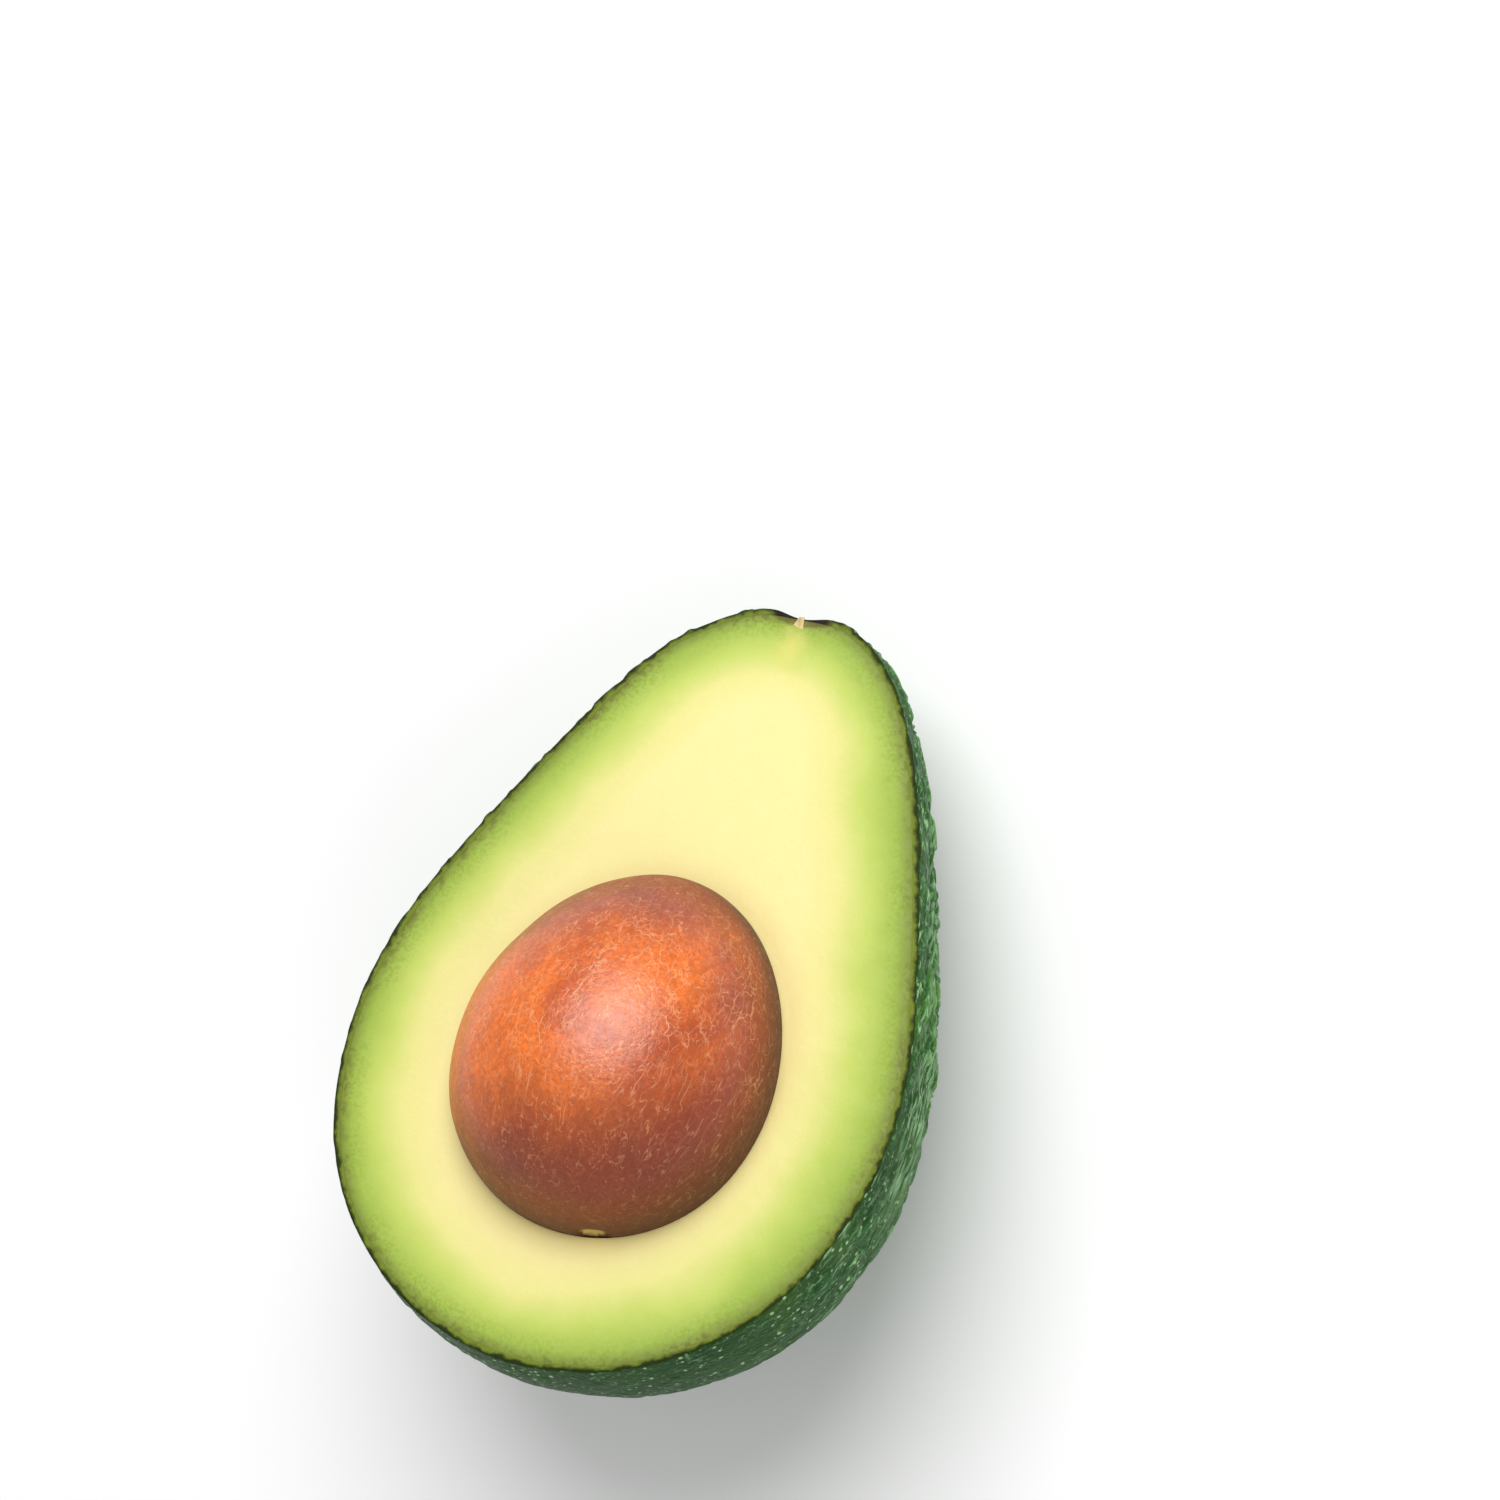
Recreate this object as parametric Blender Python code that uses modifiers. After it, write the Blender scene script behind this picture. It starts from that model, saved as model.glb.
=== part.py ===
"""Half an avocado, cut lengthways from stem to base, lying on its rounded back with the seed in place.

Metres, +Z up. +Y points from the blossom end to the stem end, and the cut face looks up. The origin is the
middle of the small flat spot that the half rests on.
"""

import math

import bmesh
import bpy
from mathutils import Vector

MM = 0.001

# The whole fruit, as it was before the cut
FRUIT_LENGTH = 108 * MM
FRUIT_WIDTH = 77 * MM
SKIN_THICKNESS = 0.9 * MM

# Half of the fruit's outline, from the blossom end to the shoulder round the stem dimple:
# (share of the length, share of half the width)
PEAR_OUTLINE = (
    (0.000, 0.000),
    (0.024, 0.341),
    (0.074, 0.596),
    (0.148, 0.803),
    (0.245, 0.940),
    (0.370, 1.000),
    (0.490, 0.961),
    (0.611, 0.850),
    (0.741, 0.702),
    (0.852, 0.556),
    (0.925, 0.430),
    (0.970, 0.300),
)

# The dimple that the stalk sits in, and the shoulder that rises gently to its rim
DIMPLE_RIM_RADIUS = 4.6 * MM
DIMPLE_DEPTH = 1.3 * MM
SHOULDER_WIDTH = 2.5 * MM
SHOULDER_RISE = 0.65 * MM

# The stub of the stalk, left in the dimple
STUB_TOP_RADIUS = 1.5 * MM
STUB_FOOT_RADIUS = 2.3 * MM
STUB_LENGTH = 4.6 * MM
STUB_RISE = 0.8 * MM

# The seed, an egg whose narrow end points at the stem
SEED_WIDTH = 42.4 * MM
SEED_THICKNESS = 39.2 * MM
SEED_LENGTH = 49 * MM
SEED_TAPER = 0.11
FLESH_BELOW_SEED = 17.4 * MM

# The knife passed this far in front of the fruit's axis, at the blossom end and at the stem end
CUT_OFFSET_AT_BASE = 7 * MM
CUT_OFFSET_AT_STEM = 1 * MM

# How far the back has flattened where the half rests
REST_PRESS = 0.5 * MM

# Gap between two pieces that touch
CLEARANCE = 0.3 * MM

TURN_STEPS = 48
OUTLINE_STEPS = 2
SEED_RINGS = 20
STUB_STEPS = 16

# How finely the resting pitch is worked out, and the steepest pitch tried
BALANCE_STEPS = 40
BALANCE_SLICES = 200
BALANCE_ROUNDS = 40
STEEPEST_PITCH = math.radians(30)

COLOURS = {
    "skin": (0.055, 0.150, 0.035, 1.0),
    "flesh": (0.860, 0.800, 0.260, 1.0),
    "seed": (0.420, 0.120, 0.035, 1.0),
    "stem_stub": (0.480, 0.350, 0.120, 1.0),
}
ROUGHNESS = {"skin": 0.42, "flesh": 0.38, "seed": 0.45, "stem_stub": 0.8}


def clear_scene():
    for thing in list(bpy.data.objects):
        bpy.data.objects.remove(thing, do_unlink=True)


def new_collection(name, rendered):
    collection = bpy.data.collections.new(name)
    bpy.context.scene.collection.children.link(collection)
    collection.hide_render = not rendered
    return collection


def material_for(name):
    material = bpy.data.materials.new(name)
    material.use_nodes = True
    shader = material.node_tree.nodes["Principled BSDF"]
    shader.inputs["Base Color"].default_value = COLOURS[name]
    shader.inputs["Roughness"].default_value = ROUGHNESS[name]
    shader.inputs["Metallic"].default_value = 0.0
    return material


# ---------------------------------------------------------------- outlines, as (radius, distance along)


def between(before, start, end, after, share):
    """A point on the smooth curve from start to end."""
    return 0.5 * (
        2 * start
        + (end - before) * share
        + (2 * before - 5 * start + 4 * end - after) * share**2
        + (3 * start - before - 3 * end + after) * share**3
    )


def smooth_through(knots, steps):
    """The knots joined by a smooth curve, which meets the axis square at both ends."""
    first, last = knots[1], knots[-2]
    padded = [Vector((-first.x, first.y)), *knots, Vector((-last.x, last.y))]
    curve = [
        between(*padded[i : i + 4], step / steps)
        for i in range(len(knots) - 1)
        for step in range(steps)
    ]
    return [*curve, knots[-1]]


def fruit_outline(steps):
    """The skin's outer side, from the blossom end over the dimple's rim to the middle of the dimple."""
    knots = [Vector((r * FRUIT_WIDTH / 2, s * FRUIT_LENGTH)) for s, r in PEAR_OUTLINE]
    knots += [
        Vector((DIMPLE_RIM_RADIUS + SHOULDER_WIDTH, FRUIT_LENGTH - SHOULDER_RISE)),
        Vector((DIMPLE_RIM_RADIUS, FRUIT_LENGTH)),
        Vector((DIMPLE_RIM_RADIUS / 2, FRUIT_LENGTH - 0.6 * DIMPLE_DEPTH)),
        Vector((0, FRUIT_LENGTH - DIMPLE_DEPTH)),
    ]
    curve = smooth_through(knots, steps)
    curve[0].x = curve[-1].x = 0
    return curve


def inset(outline, depth):
    """The same outline, moved into the fruit by depth."""
    moved = []
    for i, point in enumerate(outline):
        before = outline[i - 1] if i else Vector((-outline[1].x, outline[1].y))
        after = outline[i + 1] if i + 1 < len(outline) else Vector((-before.x, before.y))
        along = (after - before).normalized()
        moved.append(point + depth * Vector((-along.y, along.x)))
    moved[0].x = moved[-1].x = 0
    return moved


def seed_outline(grown_by):
    """The egg's outline, from its wide end to its narrow end."""
    outline = []
    for ring in range(SEED_RINGS + 1):
        angle = math.pi * ring / SEED_RINGS
        width = SEED_WIDTH / 2 * (1 + SEED_TAPER * math.cos(angle)) + grown_by
        length = SEED_LENGTH / 2 + grown_by
        outline.append(Vector((width * math.sin(angle), -length * math.cos(angle))))
    outline[0].x = outline[-1].x = 0
    return outline


def stub_outline(grown_by):
    """The stub's outline, from its foot in the flesh to its broken top."""
    foot, top = STUB_FOOT_RADIUS + grown_by, STUB_TOP_RADIUS + grown_by
    return [
        Vector((0, -grown_by)),
        Vector((foot, -grown_by)),
        Vector((top, STUB_LENGTH + grown_by)),
        Vector((0, STUB_LENGTH + grown_by)),
    ]


# ---------------------------------------------------------------- how the half balances


def axis_dip():
    """The angle between the fruit's axis and the cut."""
    return math.asin((CUT_OFFSET_AT_BASE - CUT_OFFSET_AT_STEM) / FRUIT_LENGTH)


def axis_point(along):
    """(y, z) of a point on the fruit's axis, measured from the cut face."""
    return Vector(
        (
            along * math.cos(axis_dip()),
            along * math.sin(axis_dip()) - CUT_OFFSET_AT_BASE,
        )
    )


def radius_at(outline, along):
    for start, end in zip(outline, outline[1:]):
        if start.y <= along <= end.y:
            return start.x + (end.x - start.x) * (along - start.y) / (end.y - start.y)
    return 0.0


def slice_below_cut(radius, height):
    """(area, centroid's height) of the part of a disc below height, with heights from the disc's centre."""
    if height >= radius:
        return math.pi * radius**2, 0.0
    half_chord = math.sqrt(radius**2 - height**2)
    area = radius**2 * (math.pi - math.acos(height / radius)) + height * half_chord
    return area, -2 / 3 * half_chord**3 / area


def centre_of_mass(outline):
    """(y, z) of the centre of mass, from the cut face: the cut fruit, and the half of the seed above it."""
    volume, moment = 0.0, Vector((0, 0))
    thickness = FRUIT_LENGTH / BALANCE_SLICES
    for i in range(BALANCE_SLICES):
        along = (i + 0.5) * thickness
        centre = axis_point(along)
        area, drop = slice_below_cut(radius_at(outline, along), -centre.y)
        volume += area * thickness
        moment += area * thickness * (centre + Vector((0, drop)))
    dome = 2 / 3 * math.pi * SEED_WIDTH / 2 * SEED_THICKNESS / 2 * SEED_LENGTH / 2
    moment += dome * Vector((seed_centre(), 3 / 8 * SEED_THICKNESS / 2))
    return moment / (volume + dome)


def turned(point, angle):
    """A (y, z) point turned about the X axis."""
    return Vector(
        (
            point.x * math.cos(angle) - point.y * math.sin(angle),
            point.x * math.sin(angle) + point.y * math.cos(angle),
        )
    )


def lowest_point(outline, pitch):
    """(y, z) of the back's lowest point from the cut face's origin, with the face pitched."""
    tilt = pitch + axis_dip()
    lowest = None
    for point in outline:
        y = point.y * math.cos(tilt) + point.x * math.sin(tilt)
        z = point.y * math.sin(tilt) - point.x * math.cos(tilt)
        if lowest is None or z < lowest.y:
            lowest = Vector((y, z))
    return lowest + turned(Vector((0, -CUT_OFFSET_AT_BASE)), pitch)


def resting_pitch(outline):
    """The pitch of the cut face at which the centre of mass stands over the lowest point of the back."""
    mass = centre_of_mass(outline)
    low, high = -STEEPEST_PITCH, STEEPEST_PITCH
    for _ in range(BALANCE_ROUNDS):
        pitch = (low + high) / 2
        if turned(mass, pitch).x > lowest_point(outline, pitch).x:
            high = pitch
        else:
            low = pitch
    return pitch


# ---------------------------------------------------------------- building blocks


def turned_solid(name, loop, collection, steps=TURN_STEPS):
    """A solid turned about its own Z axis. The loop's (radius, height) points run down its outer side."""
    mesh = bpy.data.meshes.new(name)
    edges = [(i, i + 1) for i in range(len(loop) - 1)]
    mesh.from_pydata([(p.x, 0, p.y) for p in loop], edges, [])
    thing = bpy.data.objects.new(name, mesh)
    collection.objects.link(thing)
    screw = thing.modifiers.new("turn", "SCREW")
    screw.steps = screw.render_steps = steps
    screw.use_smooth_shade = True
    screw.use_merge_vertices = True
    screw.merge_threshold = 0.01 * MM
    return thing


def cutter_box(name, collection):
    """A block with its underside at z = 0, large enough to cut the whole fruit."""
    side = 3 * max(FRUIT_LENGTH, FRUIT_WIDTH)
    mesh = bpy.data.meshes.new(name)
    box = bmesh.new()
    bmesh.ops.create_cube(box, size=side)
    bmesh.ops.translate(box, verts=box.verts, vec=(0, 0, side / 2))
    box.to_mesh(mesh)
    box.free()
    thing = bpy.data.objects.new(name, mesh)
    collection.objects.link(thing)
    return hide(thing)


def hide(cutter):
    cutter.hide_render = True
    cutter.display_type = "WIRE"
    return cutter


def cut(thing, *cutters):
    for cutter in cutters:
        boolean = thing.modifiers.new("cut_" + cutter.name, "BOOLEAN")
        boolean.operation = "DIFFERENCE"
        boolean.solver = "EXACT"
        boolean.object = cutter


def paint(thing):
    thing.data.materials.append(material_for(thing.name))


def empty(name, parent, location, rotation_x, collection):
    made = bpy.data.objects.new(name, None)
    made.parent = parent
    made.location = location
    made.rotation_euler = (rotation_x, 0, 0)
    collection.objects.link(made)
    return made


# ---------------------------------------------------------------- the avocado


def seed_centre():
    """The seed's middle, as a distance from the blossom end along the cut face."""
    return SKIN_THICKNESS + FLESH_BELOW_SEED + SEED_LENGTH / 2


def build():
    clear_scene()
    avocado = new_collection("avocado_half", rendered=True)
    cutters = new_collection("cutters", rendered=False)
    outer, balanced = fruit_outline(OUTLINE_STEPS), fruit_outline(BALANCE_STEPS)

    # Frames: the cut face, and the fruit's axis behind it with local Z towards the stem
    pitch = resting_pitch(balanced)
    low = lowest_point(balanced, pitch)
    face_at = (0, -low.x, -low.y - REST_PRESS)
    cut_face = empty("cut_face", None, face_at, pitch, avocado)
    quarter = math.pi / 2
    behind = (0, 0, -CUT_OFFSET_AT_BASE)
    fruit_axis = empty("fruit_axis", cut_face, behind, axis_dip() - quarter, avocado)
    seed_at = (0, seed_centre(), 0)
    seed_axis = empty("seed_axis", cut_face, seed_at, -quarter, avocado)
    seed_axis.scale.y = SEED_THICKNESS / SEED_WIDTH
    stub_at = (0, 0, FRUIT_LENGTH - DIMPLE_DEPTH + STUB_RISE - STUB_LENGTH)
    stub_axis = empty("stub_axis", fruit_axis, stub_at, 0, avocado)

    # Cutters
    knife = cutter_box("knife", cutters)
    knife.parent = cut_face
    floor = cutter_box("floor", cutters)
    floor.rotation_euler.x = math.pi
    seed_pocket = hide(turned_solid("seed_pocket", seed_outline(CLEARANCE)[::-1], cutters))
    seed_pocket.parent = seed_axis
    stub_loop = stub_outline(CLEARANCE)[::-1]
    stub_socket = hide(turned_solid("stub_socket", stub_loop, cutters, STUB_STEPS))
    stub_socket.parent = stub_axis

    # Skin
    inner = inset(outer, SKIN_THICKNESS)
    skin = turned_solid("skin", outer[::-1] + inner, avocado)
    skin.parent = fruit_axis
    cut(skin, knife, stub_socket, floor)
    paint(skin)

    # Flesh
    flesh = turned_solid("flesh", inset(outer, SKIN_THICKNESS + CLEARANCE)[::-1], avocado)
    flesh.parent = fruit_axis
    cut(flesh, knife, stub_socket, seed_pocket)
    paint(flesh)

    # Seed
    seed = turned_solid("seed", seed_outline(0)[::-1], avocado)
    seed.parent = seed_axis
    paint(seed)

    # Stub of the stalk, halved by the same cut
    stem_stub = turned_solid("stem_stub", stub_outline(0)[::-1], avocado, STUB_STEPS)
    stem_stub.parent = stub_axis
    cut(stem_stub, knife)
    paint(stem_stub)


build()
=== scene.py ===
"""Half an avocado with its seed, resting on its back on a pale floor.

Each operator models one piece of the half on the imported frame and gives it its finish. The pieces are shaped
in the cut face's own frame, with X across, Y towards the stem and Z out of the face, and moved into place last.
"""

import math

import bmesh
import bpy
import numpy as np
from bpy.props import FloatProperty, FloatVectorProperty, IntProperty, PointerProperty
from mathutils import Matrix, Vector, noise


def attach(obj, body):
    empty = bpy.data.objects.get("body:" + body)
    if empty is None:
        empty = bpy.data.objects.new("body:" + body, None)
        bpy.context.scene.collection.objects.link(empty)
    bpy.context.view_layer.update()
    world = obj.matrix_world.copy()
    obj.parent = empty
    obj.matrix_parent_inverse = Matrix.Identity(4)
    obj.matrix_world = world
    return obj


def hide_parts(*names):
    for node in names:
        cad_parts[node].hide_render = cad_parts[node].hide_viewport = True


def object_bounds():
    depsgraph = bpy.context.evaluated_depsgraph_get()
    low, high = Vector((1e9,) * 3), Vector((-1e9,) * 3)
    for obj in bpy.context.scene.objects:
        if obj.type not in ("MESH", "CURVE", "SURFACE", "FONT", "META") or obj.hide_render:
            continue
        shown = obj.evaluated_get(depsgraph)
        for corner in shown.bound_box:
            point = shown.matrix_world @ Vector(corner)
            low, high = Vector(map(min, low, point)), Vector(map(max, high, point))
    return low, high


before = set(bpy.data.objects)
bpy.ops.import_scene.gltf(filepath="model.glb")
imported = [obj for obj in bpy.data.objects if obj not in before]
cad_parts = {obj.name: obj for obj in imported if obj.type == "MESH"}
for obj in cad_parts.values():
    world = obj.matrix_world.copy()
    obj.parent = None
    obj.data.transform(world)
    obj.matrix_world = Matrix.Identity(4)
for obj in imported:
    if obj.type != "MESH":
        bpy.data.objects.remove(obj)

bl_info = {
    "name": "Avocado Half",
    "version": (1, 0, 0),
    "blender": (4, 5, 0),
    "location": "View3D > Sidebar > Avocado",
    "description": "Models half an avocado with its seed in place",
    "category": "Add Mesh",
}

CAD_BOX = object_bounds()
MM = 0.001
# Faces that meet at less than this angle look like one smooth surface
SHARPEST_CURVE = math.radians(60)
# Noise vectors follow this seed, which would otherwise change with the time of day
NOISE_SEED = 5
# The part of the fruit's length beyond which lies the stem end
STEM_END = 0.9
# The halvings that find a point on the pear's surface, and the points on each stretch of its outline
HALVINGS = 36
CURVE_STEPS = 12
# How far the peel's outside and its inner wall's rim lie below the cut at least
UNDER_CUT = 0.03 * MM
WALL_UNDER_CUT = 0.3 * MM
# How far across the cut edge its rings of faces lie: 0 at the outside, 1 at the flesh
CUT_EDGE_RINGS = (0, 0.33, 0.66, 1)


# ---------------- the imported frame


def cut_face():
    """The cut face's frame. It starts at the blossom end, in the middle of the face's edge."""
    widest = max(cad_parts["flesh"].data.polygons, key=lambda face: face.area)
    across, up = Vector((1, 0, 0)), widest.normal.copy()
    lengthwise = up.cross(across)
    spot = widest.center
    start = min(lengthwise.dot(v.co - spot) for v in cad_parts["skin"].data.vertices)
    origin = spot + start * lengthwise
    origin.x = 0
    placed = Matrix((across, lengthwise, up)).transposed().to_4x4()
    placed.translation = origin
    return placed


FACE = cut_face()


def extent(name):
    """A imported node's lowest and highest corners in the cut face's frame."""
    inwards = FACE.inverted()
    points = np.array([inwards @ v.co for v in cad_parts[name].data.vertices])
    return Vector(points.min(axis=0)), Vector(points.max(axis=0))


SKIN_LOW, SKIN_HIGH = extent("skin")
SEED_LOW, SEED_HIGH = extent("seed")
STUB_LOW, STUB_HIGH = extent("stem_stub")

# Half of the fruit's outline, from the blossom end to the shoulder round the stem dimple:
# (share of the length, share of half the width)
PEAR_OUTLINE = (
    (0.000, 0.000),
    (0.024, 0.341),
    (0.074, 0.596),
    (0.148, 0.803),
    (0.245, 0.940),
    (0.370, 1.000),
    (0.490, 0.961),
    (0.611, 0.850),
    (0.741, 0.702),
    (0.852, 0.556),
    (0.925, 0.430),
    (0.970, 0.300),
)


# ---------------- sizes and colours


def length(name, description, default):
    return FloatProperty(name=name, description=description, default=default, unit="LENGTH", precision=5)


def share(name, description, default):
    return FloatProperty(name=name, description=description, default=default, min=0, max=1)


def count(name, description, default):
    return IntProperty(name=name, description=description, default=default, min=4)


def linear(code):
    """A colour code such as 8FB04A as linear red, green and blue."""
    parts = [int(code[i : i + 2], 16) / 255 for i in (0, 2, 4)]
    return tuple(c / 12.92 if c < 0.04045 else ((c + 0.055) / 1.055) ** 2.4 for c in parts)


def colour(name, description, code):
    return FloatVectorProperty(name=name, description=description, subtype="COLOR", default=linear(code))


def number(name, description, default):
    return FloatProperty(name=name, description=description, default=default)


def angle(name, description, degrees):
    turn = math.radians(degrees)
    return FloatProperty(name=name, description=description, subtype="ANGLE", default=turn)


class FruitSizes(bpy.types.PropertyGroup):
    """The whole fruit, as it was before the cut"""

    length: length("Length", "Blossom end to stem end", SKIN_HIGH.y - SKIN_LOW.y)
    width: length("Width", "Across the widest part", SKIN_HIGH.x - SKIN_LOW.x)
    base_offset: length("Offset at base", "How far the axis lies under the cut at the blossom end", 7 * MM)
    stem_offset: length("Offset at stem", "How far the axis lies under the cut at the stem end", 1 * MM)
    shoulder_width: length("Shoulder width", "The slope round the stem dimple", 2.5 * MM)
    shoulder_rise: length("Shoulder rise", "How much the slope round the dimple rises", 0.65 * MM)
    dimple_radius: length("Dimple radius", "From the stem's axis to the dimple's rim", 4.6 * MM)
    dimple_depth: length("Dimple depth", "How far the dimple's middle lies under its rim", 0.8 * MM)
    stem_lean: length("Stem lean", "How far the stem end has grown to one side", 1.3 * MM)
    stem_slope: length("Stem slope", "How much lower one shoulder is than the stem", 1.1 * MM)
    shoulder_reach: length("Shoulder reach", "From the stem to either shoulder", 12 * MM)


class SkinSizes(bpy.types.PropertyGroup):
    """The peel's wall, its bumps and its colours"""

    thickness: length("Thickness", "The peel's wall", 0.9 * MM)
    cut_bevel: length("Cut bevel", "The rounding of the peel's cut edge", 0.14 * MM)
    ridge_height: length("Ridge height", "How far the winding ridges stand out", 0.78 * MM)
    ridge_size: length("Ridge size", "Half the way from one ridge to the next", 2.3 * MM)
    pebble_height: length("Pebble height", "How far the pebbles stand out", 0.5 * MM)
    pebble_size: length("Pebble size", "Half the way from one pebble to the next", 1.25 * MM)
    stretch: number("Stretch", "How much longer than wide the ridges are", 1.5)
    faces: count("Faces", "Faces along a quarter of the peel", 160)
    # Painted shade: the dark green between the ridges, also laid over the blossom end
    shade_green: colour("Hollow", "Between the ridges", "104009")
    ground: colour("Ground", "The peel's main green", "235A20")
    # Partly the ridges' own paler green, partly a painted highlight on their tops
    crest_and_highlight: colour("Crest", "On the ridges' tops", "5C9147")
    fresh: colour("Fresh", "The fresher green of some patches", "5F8F2A")
    # Pale streaking on the peel, also used for the painted sheen band below the cut
    streak_and_sheen: colour("Streaks", "The pale lengthwise streaks", "96C68E")
    dot: colour("Dots", "The small pale corky dots", "A3CB92")
    scar: colour("Scar", "The corky skin in the stem dimple", "241A10")
    rind: colour("Rind", "The dark outer part of the cut edge", "28300A")
    lining: colour("Lining", "The inner part of the cut edge", "6F7F2A")


class FleshSizes(bpy.types.PropertyGroup):
    """The flesh's edges and its colours, from the peel to the seed"""

    gap: length("Gap", "Between the flesh and the peel", 0.008 * MM)
    pocket_gap: length("Pocket gap", "Between the flesh and the seed", 0.02 * MM)
    edge_drop: length("Edge drop", "How far the cut face sinks at its edges", 0.03 * MM)
    edge_width: length("Edge width", "How wide that sinking band is", 0.7 * MM)
    wave: length("Wave", "The height of the knife's slight waves", 0.07 * MM)
    faces: count("Faces", "Faces along a quarter of the cut's edge", 64)
    rings: count("Rings", "Rings of faces between the edge and the seed", 56)
    one_side: share("One side", "How much wider the green band is on one side", 0.35)
    browned: colour("Browned", "Where the edge has browned", "5A5404")
    speck: colour("Specks", "The fine olive specks near the edge", "7D8A26")
    edge: colour("Edge", "Next to the peel", "74852C")
    green: colour("Green", "The outer flesh", "98B240")
    pale_green: colour("Pale green", "Where green turns yellow", "BDCC5F")
    pale_yellow: colour("Pale yellow", "Before the full yellow", "DFDA88")
    yellow: colour("Yellow", "The inner flesh", "EBDF98")
    # Partly the flesh's own browner tint, partly painted shade round the seed
    seat: colour("Seat", "Round the seed", "DDC07E")
    stalk: colour("Stalk", "Round the foot of the stalk", "D8D070")


class SeedSizes(bpy.types.PropertyGroup):
    """The seed's shape and the colours of its coat"""

    taper: share("Taper", "How much narrower its stem end is", 0.11)
    lump: length("Lumps", "The height of its broad lumps", 0.16 * MM)
    scar_depth: length("Scar depth", "The dent where the seed was attached", 0.8 * MM)
    scar_width: length("Scar width", "From the middle of that dent to its edge", 3.2 * MM)
    faces: count("Faces", "Faces along a quarter of the seed", 84)
    orange: colour("Orange", "The coat's bright patches", "F87818")
    brown: colour("Brown", "The coat's main colour", "CE5816")
    # The stem end's own colour, also used for the painted shade on one side
    tip_and_side_shade: colour("Tip", "The coat's stem end", "8A2C0A")
    # Partly the coat's own colour, partly painted shade at the blossom end
    dark: colour("Dark", "The coat's blossom end", "7E2E10")
    # Painted shade where the coat curves down into the flesh
    side: colour("Side", "The coat where it enters the flesh", "401E04")
    fleck: colour("Flecks", "The coat's fine flecks", "6E2406")
    vein: colour("Veins", "The net of fine veins", "F0AC7A")
    scar: colour("Scar", "Where the seed was attached", "CDB863")


class StubSizes(bpy.types.PropertyGroup):
    """The stub of the stalk, halved by the cut"""

    top_radius: length("Top radius", "At its broken top", 0.38 * MM)
    foot_radius: length("Foot radius", "At its foot in the flesh", 1.7 * MM)
    tip_length: length("Tip length", "How much of it is bare wood", 1.3 * MM)
    wood: colour("Wood", "Its cut fibres", "D3BE86")
    fibre: colour("Fibres", "The dark fibres in its wood", "8A6A2E")
    root: colour("Root", "Its foot, which the flesh has yellowed", "D8D070")
    bark: colour("Bark", "Its outside", "3A2C18")


class StageSizes(bpy.types.PropertyGroup):
    """The floor, the lights and the camera"""

    floor_width: length("Floor width", "Along each side of the floor", 6.0)
    floor: colour("Floor", "The pale floor", "F8F8F8")
    sky: number("Sky", "The strength of the light from all round", 0.48)
    key_watts: number("Key light", "Power of the light overhead", 7.8)
    fill_watts: number("Fill light", "Power of the light at the side", 2.0)
    light_width: length("Light width", "The width of both lights", 0.8)
    lens: number("Lens", "Focal length in millimetres", 135)
    distance: length("Distance", "From the camera to the cut face", 0.735)
    across: length("Across", "Where the view's middle meets the face, across it", -0.7 * MM)
    along: length("Along", "Where the view's middle meets the face, along it", 86.9 * MM)
    around: angle("Around", "The camera's turn about the face", 56.3)
    above: angle("Above", "The camera's angle above the face", 62.3)
    roll: angle("Roll", "The camera's turn about its own view", -36.3)


# ---------------- the pear's surface


def between(before, start, end, after, part):
    """A point on the smooth curve from start to end."""
    return 0.5 * (
        2 * start
        + (end - before) * part
        + (2 * before - 5 * start + 4 * end - after) * part**2
        + (3 * start - before - 3 * end + after) * part**3
    )


def smooth_through(knots, steps):
    """The knots joined by a smooth curve, which meets the axis square at both ends."""
    first, last = knots[1], knots[-2]
    padded = [Vector((-first.x, first.y)), *knots, Vector((-last.x, last.y))]
    curve = [
        between(*padded[i : i + 4], step / steps)
        for i in range(len(knots) - 1)
        for step in range(steps)
    ]
    return [*curve, knots[-1]]


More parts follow.
